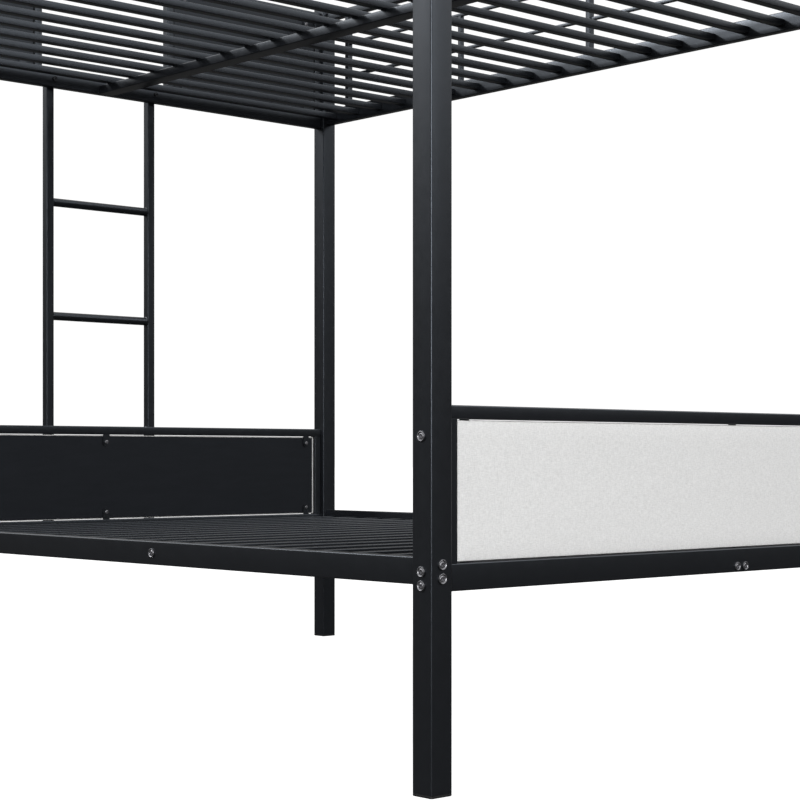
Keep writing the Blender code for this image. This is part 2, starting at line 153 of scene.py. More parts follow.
# Area lights: where each is, what it faces, its size and its power.
LIGHTS = {
    "front_box": ((5.6, -4.9, 1.9), (0.4, 0, 0.6), (3.0, 2.6), 270),
    "side_box": ((8.6, 2.9, 3.7), (-0.6, 0, 1.4), (2.6, 2.0), 55),
    "key": ((-6.0, -6.2, 5.6), (0, 0, 1.2), (0.9, 0.9), 340),
}

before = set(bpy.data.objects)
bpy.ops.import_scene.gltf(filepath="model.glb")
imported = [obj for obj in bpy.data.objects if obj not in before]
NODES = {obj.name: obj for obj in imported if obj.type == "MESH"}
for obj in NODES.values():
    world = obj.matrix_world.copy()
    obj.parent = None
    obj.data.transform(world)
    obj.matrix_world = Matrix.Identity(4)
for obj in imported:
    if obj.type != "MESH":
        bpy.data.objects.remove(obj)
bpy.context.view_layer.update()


# Materials.


def add_node(tree, kind, settings=(), **sockets):
    """A shader node with its properties and sockets set. A socket given a node output is linked to it."""
    made = tree.nodes.new(kind)
    for key, value in dict(settings).items():
        setattr(made, key, value)
    for key, value in sockets.items():
        socket = made.inputs[key.replace("_", " ")]
        if isinstance(value, bpy.types.NodeSocket):
            tree.links.new(value, socket)
        else:
            socket.default_value = value
    return made


def maths(tree, operation, *values, clamp=False):
    """The result of a sum on numbers and node outputs."""
    made = tree.nodes.new("ShaderNodeMath")
    made.operation = operation
    made.use_clamp = clamp
    for socket, value in zip(made.inputs, values):
        if isinstance(value, bpy.types.NodeSocket):
            tree.links.new(value, socket)
        else:
            socket.default_value = value
    return made.outputs[0]


def new_material(name, roughness, metallic=0.0, specular=0.5, tint=(1.0, 1.0, 1.0)):
    """A material, its node tree and its shader."""
    material = bpy.data.materials.new(name)
    material.use_nodes = True
    tree = material.node_tree
    shader = tree.nodes["Principled BSDF"]
    shader.inputs["Roughness"].default_value = roughness
    shader.inputs["Metallic"].default_value = metallic
    shader.inputs["Specular IOR Level"].default_value = specular
    shader.inputs["Specular Tint"].default_value = (*tint, 1.0)
    return material, tree, shader


def place_of(tree):
    return tree.nodes.new("ShaderNodeTexCoord").outputs["Object"]


def noise_at(tree, vector, scale, detail=2.0, roughness=0.5, stretch=None):
    if stretch:
        vector = add_node(tree, "ShaderNodeMapping", Vector=vector, Scale=stretch).outputs[0]
    return add_node(
        tree, "ShaderNodeTexNoise", Vector=vector, Scale=scale, Detail=detail, Roughness=roughness
    ).outputs[0]


def ramp(tree, value, low, high):
    """Maps 0..1 to low..high."""
    return add_node(tree, "ShaderNodeMapRange", Value=value, To_Min=low, To_Max=high).outputs[0]


def mixed(tree, factor, first, second):
    """A colour between two, by the factor."""
    made = tree.nodes.new("ShaderNodeMix")
    made.data_type = "RGBA"
    tree.links.new(factor, made.inputs[0])
    for index, colour in ((6, first), (7, second)):
        made.inputs[index].default_value = (*colour, 1.0)
    return made.outputs[2]


def bumped(tree, shader, height, strength, distance):
    bump = add_node(tree, "ShaderNodeBump", Height=height, Strength=strength, Distance=distance)
    tree.links.new(bump.outputs[0], shader.inputs["Normal"])


def powder_coat():
    """Satin black powder coat: fine orange peel, faint cloudiness and slightly uneven gloss."""
    material, tree, shader = new_material("steel_tube_coat", 0.36, specular=0.54, tint=COOL_SHEEN)
    place = place_of(tree)
    clouds = noise_at(tree, place, 9.0, 3.0)
    colour = mixed(tree, clouds, *COAT_COLOURS)
    tree.links.new(colour, shader.inputs["Base Color"])
    gloss = noise_at(tree, place, 60.0, 4.0, 0.6)
    tree.links.new(ramp(tree, gloss, 0.25, 0.35), shader.inputs["Roughness"])
    peel = noise_at(tree, place, 620.0, 2.0)
    grain = noise_at(tree, place, 2600.0, 1.0)
    bumped(tree, shader, maths(tree, "ADD", peel, maths(tree, "MULTIPLY", grain, 0.35)), 0.16, 0.0004)
    return material


def bolt_steel(name, colours):
    """Plated steel with fine drawn scratches, brighter on worn spots."""
    material, tree, shader = new_material(name, 0.3, metallic=1.0)
    place = place_of(tree)
    patches = noise_at(tree, place, 420.0, 3.0)
    colour = mixed(tree, patches, *colours)
    tree.links.new(colour, shader.inputs["Base Color"])
    scratches = noise_at(tree, place, 900.0, 3.0, 0.6, stretch=(1.0, 6.0, 1.0))
    tree.links.new(ramp(tree, scratches, 0.30, 0.46), shader.inputs["Roughness"])
    bumped(tree, shader, scratches, 0.10, 0.0002)
    return material


def moulded_plastic():
    """Black plastic with a fine moulded grain."""
    material, tree, shader = new_material("plastic_cap_moulded", 0.5, specular=0.4)
    place = place_of(tree)
    clouds = noise_at(tree, place, 40.0, 3.0)
    colour = mixed(tree, clouds, *PLASTIC_COLOURS)
    tree.links.new(colour, shader.inputs["Base Color"])
    grain = noise_at(tree, place, 1500.0, 2.0)
    tree.links.new(ramp(tree, grain, 0.42, 0.60), shader.inputs["Roughness"])
    bumped(tree, shader, grain, 0.25, 0.0003)
    return material


def panel_board():
    """Black-faced board: a matt, faintly fibrous skin."""
    material, tree, shader = new_material("panel_board_skin", 0.4, specular=0.34, tint=COOL_SHEEN)
    place = place_of(tree)
    streaks = noise_at(tree, place, 30.0, 4.0, 0.6, stretch=(1.0, 0.35, 2.2))
    fibres = noise_at(tree, place, 900.0, 3.0, 0.7, stretch=(1.0, 0.25, 1.0))
    colour = mixed(tree, streaks, *BOARD_COLOURS)
    tree.links.new(colour, shader.inputs["Base Color"])
    tree.links.new(ramp(tree, fibres, 0.32, 0.46), shader.inputs["Roughness"])
    bumped(tree, shader, fibres, 0.20, 0.0003)
    return material


def linen():
    """Plain-weave pale linen: yarns that run along Y and Z, uneven in thickness, with slubs and painted
    shade in the hollows between them.
    """
    material, tree, shader = new_material("panel_cloth_linen", 0.92, specular=0.18)
    shader.inputs["Sheen Weight"].default_value = 0.12
    shader.inputs["Sheen Roughness"].default_value = 0.5
    place = place_of(tree)
    wander = noise_at(tree, place, 55.0, 2.0)
    split = add_node(tree, "ShaderNodeSeparateXYZ", Vector=place)
    shift = maths(tree, "MULTIPLY", maths(tree, "SUBTRACT", wander, 0.5), YARN * 1.6)
    waves = []
    for axis in ("Y", "Z"):
        along = maths(tree, "ADD", maths(tree, "ADD", split.outputs[axis], split.outputs["X"]), shift)
        waves.append(maths(tree, "SINE", maths(tree, "MULTIPLY", along, math.pi / YARN)))
    over = maths(tree, "MULTIPLY_ADD", maths(tree, "MULTIPLY", *waves), 0.5, 0.5)
    under = maths(tree, "SUBTRACT", 1.0, over)
    threads = []
    for wave, lift in zip(waves, (over, under)):
        height = maths(tree, "MULTIPLY_ADD", lift, 0.55, 0.45)
        threads.append(maths(tree, "MULTIPLY", maths(tree, "ABSOLUTE", wave), height))
    weave = maths(tree, "MAXIMUM", *threads)
    upright = noise_at(tree, place, 1.0, 3.0, 0.65, stretch=(300.0, 760.0, 130.0))
    level = noise_at(tree, place, 1.0, 3.0, 0.65, stretch=(300.0, 130.0, 760.0))
    slub = maths(tree, "MULTIPLY", maths(tree, "ADD", upright, level), 0.5)
    tone = maths(tree, "MULTIPLY_ADD", maths(tree, "SUBTRACT", slub, 0.5), 2.3, 0.5, clamp=True)
    yarns = mixed(tree, tone, *YARN_COLOURS)
    # Painted shade: the yarns' colour is darkened where the weave is low, in the hollows between the
    # threads.
    weave_painted_shade = maths(tree, "MULTIPLY_ADD", weave, 0.24, 0.76, clamp=True)
    shaded = add_node(tree, "ShaderNodeVectorMath", {"operation": "SCALE"}, Vector=yarns, Scale=weave_painted_shade)
    tree.links.new(shaded.outputs[0], shader.inputs["Base Color"])
    height = maths(tree, "ADD", weave, maths(tree, "MULTIPLY", slub, 0.8))
    bumped(tree, shader, height, 0.40, 0.0005)
    return material


STEEL = powder_coat()
ZINC = bolt_steel("bolt_steel_plating", ZINC_COLOURS)
BLACKED = bolt_steel("bolt_steel_blacked", BLACKED_COLOURS)
PLASTIC = moulded_plastic()
BOARD = panel_board()
LINEN = linen()


# Mesh building.


def add_loft(mesh, rings):
    """Skins rings of points, first to last, and closes both ends."""
    rows = [[mesh.verts.new(point) for point in points] for points in rings]
    for below, above in zip(rows, rows[1:]):
        for i, vert in enumerate(below):
            j = (i + 1) % len(below)
            mesh.faces.new((vert, below[j], above[j], above[i]))
    mesh.faces.new(rows[0][::-1])
    mesh.faces.new(rows[-1])


def rounded_section(width, height, radius):
    """Points of a rounded rectangle round the origin, anticlockwise."""
    points = []
    for corner in range(4):
        side_u = 1 if corner in (0, 3) else -1
        side_v = 1 if corner in (0, 1) else -1
        for step in range(ARC_STEPS + 1):
            angle = math.radians(90 * corner + 90 * step / ARC_STEPS)
            u = side_u * (width / 2 - radius) + radius * math.cos(angle)
            v = side_v * (height / 2 - radius) + radius * math.sin(angle)
            points.append((u, v))
    return points


def add_bar(mesh, low, high, axis, radius=TUBE_ROUND):
    """A rounded bar that fills the box and runs along the axis, its ends slightly chamfered."""
    low, high = Vector(low), Vector(high)
    u, v = (axis + 1) % 3, (axis + 2) % 3
    middle = (low + high) / 2
    size = high - low
    rings = []
    first, last = low[axis], high[axis]
    stations = ((first, 1), (first + END_CHAMFER, 0), (last - END_CHAMFER, 0), (last, 1))
    for along, inset in stations:
        cut = 2 * END_CHAMFER * inset
        ring = []
        for du, dv in rounded_section(size[u] - cut, size[v] - cut, radius - cut / 2):
            point = Vector()
            point[axis] = along
            point[u] = middle[u] + du
            point[v] = middle[v] + dv
            ring.append(point)
        rings.append(ring)
    add_loft(mesh, rings)


def add_bead(mesh, start, end, radius=BEAD_RADIUS):
    """A weld bead from start to end, rippled along its length."""
    start, end = Vector(start), Vector(end)
    along = end - start
    turn = along.to_track_quat("Z", "Y").to_matrix()
    count = max(6, round(along.length / BEAD_RIPPLE))
    rings = []
    for i in range(count + 1):
        t = i / count
        taper = min(1.0, 0.35 + 4 * min(t, 1 - t))
        swell = radius * taper * (1.0 + 0.13 * (-1) ** i)
        centre = start.lerp(end, t)
        ring = [(swell * math.cos(math.tau * k / 8), swell * math.sin(math.tau * k / 8)) for k in range(8)]
        rings.append([centre + turn @ Vector((u, v, 0)) for u, v in ring])
    add_loft(mesh, rings)


def add_ring_bead(mesh, centre, axis, around, radius=BEAD_RADIUS):
    """A weld bead round a tube that runs along the axis."""
    u, v = (axis + 1) % 3, (axis + 2) % 3
    rows = []
    major, minor = 36, 8
    for i in range(major):
        angle = math.tau * i / major
        swell = radius * (1.0 + 0.10 * (-1) ** i)
        row = []
        for k in range(minor):
            turn = math.tau * k / minor
            point = Vector(centre)
            reach = around + swell * math.cos(turn)
            point[u] += reach * math.cos(angle)
            point[v] += reach * math.sin(angle)
            point[axis] += swell * math.sin(turn)
            row.append(mesh.verts.new(point))
        rows.append(row)
    for i, row in enumerate(rows):
        following = rows[(i + 1) % major]
        for k in range(minor):
            n = (k + 1) % minor
            mesh.faces.new((row[k], following[k], following[n], row[n]))


def finish_piece(name, data, material, replaced=(), sharp=35):
    """Shows a mesh as a piece in its material, riding on the bed."""
    data.materials.clear()
    data.materials.append(material)
    data.shade_smooth()
    data.set_sharp_from_angle(angle=math.radians(sharp))
    made = bpy.data.objects.new(name, data)
    bpy.context.scene.collection.objects.link(made)
    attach(made, "root")
    if replaced:
        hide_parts(*replaced)
    return made


def piece(name, mesh, material, replaced=(), sharp=35):
    """Turns a bmesh into a shown piece."""
    data = bpy.data.meshes.new(name)
    mesh.to_mesh(data)
    mesh.free()
    return finish_piece(name, data, material, replaced, sharp)


# Posts, rails and decks.


def sides(name):
    """The words in a node's name that tell its end and side, as signs."""
    return (1 if "head" in name else -1), (1 if "back" in name else -1)


def build_posts():
    """The corner posts, as rounded tubes. Their ends are under the caps."""
    for name in sorted(n for n in NODES if n.startswith("post_")):
        low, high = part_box(name)
        mesh = bmesh.new()
        add_bar(mesh, low, high, 2, POST_ROUND)
        piece(f"tube_{name}", mesh, STEEL, [name])


def build_caps():
    """Each cap shows as a flange with a softly rounded rim, over a plug inside the post."""
    for name in sorted(n for n in NODES if "_cap_" in n):
        low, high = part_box(name)
        outward = -1 if name.startswith("foot") else 1
        face = low.z if outward < 0 else high.z
        middle = (low + high) / 2
        half = (high.x - low.x) / 2
        rim = half - CAP_STEP
        profile = [(half - 0.0016, 0.0), (half - 0.0006, 0.0003), (half, 0.0012)]
        profile += [(half, CAP_FLANGE - 0.0003), (half - 0.0004, CAP_FLANGE)]
        profile += [(rim, CAP_FLANGE), (rim - 0.0004, high.z - low.z)]
        rings = []
        for reach, depth in profile:
            ring = rounded_section(2 * reach, 2 * reach, min(POST_ROUND, reach / 4))
            rings.append([Vector((middle.x + u, middle.y + v, face - outward * depth)) for u, v in ring])
        mesh = bmesh.new()
        add_loft(mesh, rings if outward < 0 else rings[::-1])
        piece(f"moulded_{name}", mesh, PLASTIC, [name])


def slat_place(step):
    """The X of a slat, counted from the middle one."""
    low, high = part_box("slat_deck_upper")
    return (low.x + high.x) / 2 + SLAT_PITCH * step


def slat_places():
    return [slat_place(i - (SLATS - 1) // 2) for i in range(SLATS)]


def cut_away(name, body, cutter):
    """The body's mesh less the cutter's, both given as bmeshes."""
    helpers = []
    for mesh in (body, cutter):
        data = bpy.data.meshes.new(name)
        mesh.to_mesh(data)
        mesh.free()
        helper = bpy.data.objects.new(name, data)
        bpy.context.scene.collection.objects.link(helper)
        helpers.append(helper)
    cut = helpers[0].modifiers.new("Cut", "BOOLEAN")
    cut.operation = "DIFFERENCE"
    cut.solver = "EXACT"
    cut.object = helpers[1]
    graph = bpy.context.evaluated_depsgraph_get()
    data = bpy.data.meshes.new_from_object(helpers[0].evaluated_get(graph), depsgraph=graph)
    for helper in helpers:
        bpy.data.objects.remove(helper)
    return data


def build_side_rails():
    """Side rails with the row of slots that the slats' crimped ends enter."""
    for name in sorted(n for n in NODES if n.startswith("side_rail_")):
        level_name = name.split("_")[2]
        low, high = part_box(name)
        deck_low, deck_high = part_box(f"slat_deck_{level_name}")
        _, side = sides(name)
        body = bmesh.new()
        add_bar(body, low, high, 0)
        inner_face = low.y if side > 0 else high.y
        slat_middle = deck_high.z - SLAT_HEIGHT / 2
        cutter = bmesh.new()
        half = Vector((SLAT_WIDTH, 0, SLAT_HEIGHT)) / 2 - Vector((1, 0, 1)) * (SLAT_CRIMP - SLOT_FIT)
        for x in slat_places():
            centre = Vector((x, inner_face, slat_middle))
            add_bar(
                cutter,
                centre - half - Vector((0, SLOT_DEEP, 0)),
                centre + half + Vector((0, SLOT_DEEP, 0)),
                1,
                SLOT_ROUND,
            )
        finish_piece(f"tube_{name}", cut_away(name, body, cutter), STEEL, [name])


def build_decks():
    """Each deck: a flat centre beam, the slats on it with crimped ends, and their welds."""
    for level_name in ("lower", "upper"):
        node = f"slat_deck_{level_name}"
        low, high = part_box(node)
        rail_low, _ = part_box(f"side_rail_{level_name}_back")
        slat_end = rail_low.y - SLAT_CLEARANCE
        beam_top = high.z - SLAT_HEIGHT
        mesh = bmesh.new()
        beam_low = (low.x, -BEAM_WIDTH / 2, beam_top - BEAM_HEIGHT)
        add_bar(mesh, beam_low, (high.x, BEAM_WIDTH / 2, beam_top), 0)
        piece(f"beam_{level_name}", mesh, STEEL, [node])
        slats = bmesh.new()
        welds = bmesh.new()
        half = SLAT_WIDTH / 2
        crimp = half - SLAT_CRIMP
        for x in slat_places():
            add_bar(slats, (x - half, -slat_end, beam_top), (x + half, slat_end, high.z), 1, SLAT_ROUND)
            for side in (-1, 1):
                ends = sorted((side * slat_end, side * (high.y - CRIMP_CLEARANCE)))
                lows = (x - crimp, ends[0], beam_top + SLAT_CRIMP)
                highs = (x + crimp, ends[1], high.z - SLAT_CRIMP)
                add_bar(slats, lows, highs, 1, CRIMP_ROUND)
                y = side * (BEAM_WIDTH / 2 - SLAT_WELD_SUNK_Y)
                z = beam_top - SLAT_WELD_SUNK_Z
                reach = half * SLAT_WELD_SHARE
                add_bead(welds, (x - reach, y, z), (x + reach, y, z))
        piece(f"slats_{level_name}", slats, STEEL, [node])
        piece(f"slat_welds_{level_name}", welds, STEEL, sharp=70)


# End frames, guards and ladder.


def add_tab(mesh, face, inward, y, root, tip):
    """A flat tab with a round free end. It stands on the frame at height root and reaches to tip."""
    up = 1 if tip > root else -1
    half = TAB_WIDE / 2
    outline = [(half, root), (half, tip - up * half)]
    for step in range(1, 12):
        angle = math.pi * step / 12
        outline.append((half * math.cos(angle), tip - up * half + up * half * math.sin(angle)))
    outline += [(-half, tip - up * half), (-half, root)]
    rings = []
    for x in sorted((face, face + inward * TAB_THICK)):
        rings.append([Vector((x, y + v, z)) for v, z in outline])
    add_loft(mesh, rings if up > 0 else [ring[::-1] for ring in rings])


def frame_parts(name):
    """Where an end frame's members are: its box, stiles in Y, top spans in Y and tab places in Y."""
    low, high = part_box(name)
    stiles = [(low.y, low.y + TUBE), (high.y - TUBE, high.y)]
    spans = [(low.y, high.y)]
    tabs = [-TAB_CORNER_Y, 0, TAB_CORNER_Y]
    if name == "end_frame_upper_ladder":
        gap_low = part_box("panel_upper_ladder_front")[1].y + PANEL_GAP
        gap_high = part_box("panel_upper_ladder_back")[0].y - PANEL_GAP
        stiles += [(gap_low, gap_low + TUBE), (gap_high - TUBE, gap_high)]
        spans = [(low.y, gap_low + TUBE), (gap_high - TUBE, high.y)]
        tabs = [-TAB_CORNER_Y, -TAB_GATE_Y, TAB_GATE_Y, TAB_CORNER_Y]
    return low, high, stiles, spans, tabs


def build_end_frames():
    """The welded end frames: rails, side tubes, gate posts and panel tabs."""
    for name in sorted(n for n in NODES if n.startswith("end_frame_")):
        low, high, stiles, spans, tabs = frame_parts(name)
        x_side, _ = sides(name)
        rail_top, top_under = low.z + RAIL_HEIGHT, high.z - TUBE
        mesh = bmesh.new()
        add_bar(mesh, low, (high.x, high.y, rail_top), 1)
        welds = bmesh.new()
        for y_low, y_high in stiles:
            foot, head = rail_top - WELD_LAP, top_under + WELD_LAP
            add_bar(mesh, (low.x, y_low, foot), (high.x, y_high, head), 2)
            for y, outer in ((y_low, low.y), (y_high, high.y)):
                if abs(y - outer) < TUBE / 2:
                    continue
                for z in (rail_top + STILE_WELD_RISE, top_under - STILE_WELD_RISE):
                    add_bead(welds, (low.x + STILE_WELD_INSET, y, z), (high.x - STILE_WELD_INSET, y, z))
        for y_low, y_high in spans:
            add_bar(mesh, (low.x, y_low, top_under), (high.x, y_high, high.z), 1)
        face = low.x if x_side > 0 else high.x
        for y in tabs:
            add_tab(mesh, face, x_side, y, rail_top - WELD_LAP, rail_top + TAB_LONG)
            add_tab(mesh, face, x_side, y, top_under + WELD_LAP, top_under - TAB_LONG)
        piece(f"welded_{name}", mesh, STEEL, [name])
        piece(f"welds_{name}", welds, STEEL, sharp=70)


def build_guards():
    """The guard rails: a top bar, three stiles, one slim upright and two thin bars."""
    for side_name in ("front", "back"):
        name = f"guard_rail_{side_name}"
        low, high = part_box(name)
        centre = (low + high) / 2
        top_under = high.z - TUBE
        mesh = bmesh.new()
        welds = bmesh.new()
        add_bar(mesh, (low.x, low.y, top_under), high, 0)
        stiles = [centre.x + GUARD_STILE_X * k for k in (-1, 0, 1)]
        half = GUARD_STILE / 2
        near, far = centre.y - half, centre.y + half
        for x in stiles:
            add_bar(mesh, (x - half, near, low.z), (x + half, far, top_under + WELD_LAP), 2)
            for edge in (x - half, x + half):
                ends = (near + GUARD_WELD_INSET, far - GUARD_WELD_INSET)
                add_bead(welds, (edge, ends[0], top_under), (edge, ends[1], top_under))
        slim = centre.x + GUARD_SLIM_X
        slim_half = GUARD_SLIM / 2
        slim_low = (slim - slim_half, centre.y - slim_half, low.z)
        slim_top = GUARD_BARS[-1] - GUARD_BAR / 2 + WELD_LAP
        add_bar(mesh, slim_low, (slim + slim_half, centre.y + slim_half, slim_top), 2)
        bar_half = GUARD_BAR / 2
        for z in GUARD_BARS:
            for x_low, x_high in zip(stiles, stiles[1:]):
                x_low, x_high = x_low + half, x_high - half
                bar_low = (x_low - WELD_LAP, centre.y - bar_half, z - bar_half)
                bar_high = (x_high + WELD_LAP, centre.y + bar_half, z + bar_half)
                add_bar(mesh, bar_low, bar_high, 0, GUARD_BAR_ROUND)
                for x in (x_low, x_high):
                    for edge in (z - bar_half, z + bar_half):
                        ends = (centre.y - bar_half, centre.y + bar_half)
                        add_bead(welds, (x, ends[0], edge), (x, ends[1], edge), THIN_BEAD_RADIUS)
        piece(f"welded_{name}", mesh, STEEL, [name])
        piece(f"welds_{name}", welds, STEEL, sharp=70)


def build_ladder():
    """The ladder: two tubes with plugged ends, round rungs and their ring welds."""
    low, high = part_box("ladder")
    mesh = bmesh.new()
    welds = bmesh.new()
    rails = [(low.y, low.y + TUBE), (high.y - TUBE, high.y)]
    for y_low, y_high in rails:
        add_bar(mesh, (low.x, y_low, low.z), (high.x, y_high, high.z), 2)
    x = (low.x + high.x) / 2
    inner = (rails[0][1], rails[1][0])
    ends = (inner[0] - RUNG_SUNK, inner[1] + RUNG_SUNK)
    angles = [math.tau * k / 32 for k in range(32)]
    section = [(RUNG_RADIUS * math.cos(a), RUNG_RADIUS * math.sin(a)) for a in angles]
    for i in range(RUNGS):
        z = RUNG_FIRST + RUNG_STEP * i
        add_loft(mesh, [[Vector((x + v, y, z + u)) for u, v in section] for y in ends])
        for y in inner:
            add_ring_bead(welds, (x, y, z), 1, RUNG_RADIUS)
    piece("welded_ladder", mesh, STEEL, ["ladder"])
    piece("welds_ladder", welds, STEEL, sharp=70)
    for side_name, (y_low, y_high) in zip(("front", "back"), rails):
        y = (y_low + y_high) / 2
        for end_name, z, outward in (("foot", low.z, -1), ("top", high.z, 1)):
            rings = []
            for inset, depth in PLUG_PROFILE:
                ring = rounded_section(TUBE - 2 * inset, TUBE - 2 * inset, PLUG_ROUND)
                rings.append([Vector((x + u, y + v, z + outward * depth)) for u, v in ring])
            plug = bmesh.new()
            add_loft(plug, rings if outward < 0 else rings[::-1])
            piece(f"ladder_plug_{side_name}_{end_name}", plug, PLASTIC)


# Panels.


def spaced(low, high):
    """Grid lines between two limits, with a narrow row at each rim."""
    count = max(2, round((high - low - 2 * PAD_ROUND) / PAD_GRID))
    inner = [low + PAD_ROUND + (high - low - 2 * PAD_ROUND) * i / count for i in range(count + 1)]
    return [low, low + PAD_ROUND * 0.3, *inner, high - PAD_ROUND * 0.3, high]


def lattice_skin(lines):
    """The closed skin of a box, as quads between the given grid lines of X, Y and Z."""
    mesh = bmesh.new()
    made = {}

    def vert(key):
        if key not in made:
            made[key] = mesh.verts.new([lines[n][key[n]] for n in range(3)])
        return made[key]

    for axis in range(3):
        u, v = (axis + 1) % 3, (axis + 2) % 3
        for side in (0, len(lines[axis]) - 1):
            for i in range(len(lines[u]) - 1):
                for j in range(len(lines[v]) - 1):
                    corners = []
                    for du, dv in ((0, 0), (1, 0), (1, 1), (0, 1)):
                        key = [0, 0, 0]
                        key[axis], key[u], key[v] = side, i + du, j + dv
                        corners.append(vert(tuple(key)))
                    mesh.faces.new(corners if side else corners[::-1])
    return mesh


def round_rim(mesh, low, high, radius):
    """Moves the skin's rim onto rounded edges."""
    for vert in mesh.verts:
        core = Vector([min(max(c, a + radius), b - radius) for c, a, b in zip(vert.co, low, high)])
        off = vert.co - core
        if off.length > 1e-7:
            vert.co = core + off.normalized() * radius


def pad_object(name, x_side):
    """The pad's starting shape, a little slack inside its CAD box."""
    low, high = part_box(name)
    if x_side > 0:
        high.x -= PAD_SLACK
    else:
        low.x += PAD_SLACK
    lines = [[low.x + (high.x - low.x) * t for t in PAD_LAYERS]]
    lines += [spaced(low.y, high.y), spaced(low.z, high.z)]
    mesh = lattice_skin(lines)
    round_rim(mesh, low, high, PAD_ROUND)
    data = bpy.data.meshes.new(name)
    mesh.to_mesh(data)
    mesh.free()
    pad = bpy.data.objects.new(f"start_{name}", data)
    bpy.context.scene.collection.objects.link(pad)
    held = pad.vertex_groups.new(name="held")
    back = low.x if x_side > 0 else high.x
    for vert in data.vertices:
        depth = abs(vert.co.x - back) / (high.x - low.x)
        held.add([vert.index], 1.0 if depth < 0.5 else 0.0, "REPLACE")
    return pad


def stuff(pads):
    """Blows the pads up as cloth, all in one run. Their backs are held flat."""
    for pad in pads:
        cloth = pad.modifiers.new("Cloth", "CLOTH").settings
        cloth.quality = 6
        cloth.mass = 0.2
        cloth.tension_stiffness = 12
        cloth.compression_stiffness = 12
        cloth.shear_stiffness = 6
        cloth.bending_stiffness = 0.6
        cloth.use_pressure = True
        cloth.uniform_pressure_force = 4
        cloth.effector_weights.gravity = 0
        cloth.vertex_group_mass = "held"
    scene = bpy.context.scene
    scene.frame_start, scene.frame_end = 1, PAD_FRAMES
    for step in range(1, PAD_FRAMES + 1):
        scene.frame_set(step)


def finished_pad(pad, name, x_side):
    """The stuffed pad with its swelling capped, its foam slightly uneven, and one subdivision."""
    graph = bpy.context.evaluated_depsgraph_get()
    rest = [v.co.copy() for v in pad.data.vertices]
    data = bpy.data.meshes.new_from_object(pad.evaluated_get(graph), depsgraph=graph)
    low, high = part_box(name)
    for vert, start in zip(data.vertices, rest):
        move = vert.co - start
        if move.length > PAD_SWELL:
            move *= PAD_SWELL / move.length
        edge = min(start.y - low.y, high.y - start.y, start.z - low.z, high.z - start.z)
        easing = min(1.0, max(0.0, edge / PAD_EASING))
        spot = Vector((x_side, start.y * PAD_LUMPS_PER_M, start.z * PAD_LUMPS_PER_M))
        lumps = PAD_LUMPS * noise.noise(spot)
        front = (start.x - (low.x + high.x) / 2) * x_side > 0
        vert.co = start + move + Vector((x_side * lumps * easing * front, 0, 0))
    bpy.data.objects.remove(pad)
    made = finish_piece(f"padded_{name}", data, LINEN, [name], sharp=80)
    smooth = made.modifiers.new("Subdivision", "SUBSURF")
    smooth.levels = smooth.render_levels = 1


def build_panels():
    """The stuffed panels and the boards behind them."""
    names = sorted(n for n in NODES if n.startswith("panel_"))
    pads = [(pad_object(name, sides(name)[0]), name) for name in names]
    stuff([pad for pad, _ in pads])
    for pad, name in pads:
        finished_pad(pad, name, sides(name)[0])
    bpy.context.scene.frame_set(1)
    for name in sorted(n for n in NODES if n.startswith("board_")):
        low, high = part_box(name)
        if name.startswith("board_upper_ladder"):
            low.y -= BOARD_LAP
            high.y += BOARD_LAP
        mesh = bmesh.new()
        add_bar(mesh, low, high, 0, BOARD_ROUND)
        piece(f"faced_{name}", mesh, BOARD, [name])


# Fasteners.


def ring_angles():
    return [math.tau * i / RING_POINTS for i in range(RING_POINTS)]


def lathe_ring(radius, height):
    return [Vector((radius * math.cos(a), radius * math.sin(a), height)) for a in ring_angles()]


def hex_ring(flat_half, height):
    """Points of a hexagon, by its half width over flats, at the same angles as lathe_ring's."""
    points = []
    for angle in ring_angles():
        turn = (angle + math.pi / 6) % (math.pi / 3) - math.pi / 6
        reach = flat_half / math.cos(turn)
        points.append(Vector((reach * math.cos(angle), reach * math.sin(angle), height)))
    return points


def cross_ring(long_half, short_half, height):
    """Points of a plus-shaped recess, at the same angles as lathe_ring's."""
    points = []
    for angle in ring_angles():
        turn = (angle + math.pi / 4) % (math.pi / 2) - math.pi / 4
        reach = min(long_half, short_half / max(1e-6, abs(math.sin(turn))))
        points.append(Vector((reach * math.cos(angle), reach * math.sin(angle), height)))
    return points


def button_head(head, high, socket, shank):
    """A low bolt: shank below Z = 0, head above it with a bright rim, a groove and a hexagon socket."""
    profile = [(0.96, 0.0), (1.0, 0.25), (1.0, 0.60), (0.94, 0.94), (0.85, 1.0), (0.76, 0.82)]
    profile += [(0.69, 0.50), (0.60, 0.46), (0.53, 0.66), (0.46, 0.76)]
    rings = [lathe_ring(shank, -0.020), lathe_ring(shank, 0.0)]
    rings += [lathe_ring(head * reach, high * up) for reach, up in profile]
    recess = [(1.0, 0.74), (1.0, 0.20), (0.3, 0.12)]
    rings += [hex_ring(socket * reach, high * up) for reach, up in recess]
    return rings


def pan_head(head, high):
    """A pan-head screw with a cross recess."""
    rings = [lathe_ring(head * 0.45, -0.012), lathe_ring(head * 0.45, 0.0), lathe_ring(head, 0.0)]
    for step in range(6):
        angle = math.radians(90 * step / 5)
        radius = head * 0.62 + head * 0.38 * math.cos(angle)
        rings.append(lathe_ring(radius, high * (0.3 + 0.7 * math.sin(angle))))
    rings.append(cross_ring(head * 0.56, head * 0.17, high))
    rings.append(cross_ring(head * 0.46, head * 0.13, high * 0.35))
    return rings


def place_rings(mesh, rings, at, direction):
    """Lofts a fastener with its +Z turned to the direction."""
    turn = Matrix.Translation(at) @ Vector(direction).to_track_quat("Z", "Y").to_matrix().to_4x4()
    add_loft(mesh, [[turn @ point for point in ring] for ring in rings])


BOLT = button_head(*BOLT_SIZES)
BEAM_BOLT = button_head(*BEAM_BOLT_SIZES)
SMALL_BOLT = button_head(*SMALL_BOLT_SIZES)
SCREW = pan_head(*SCREW_SIZES)


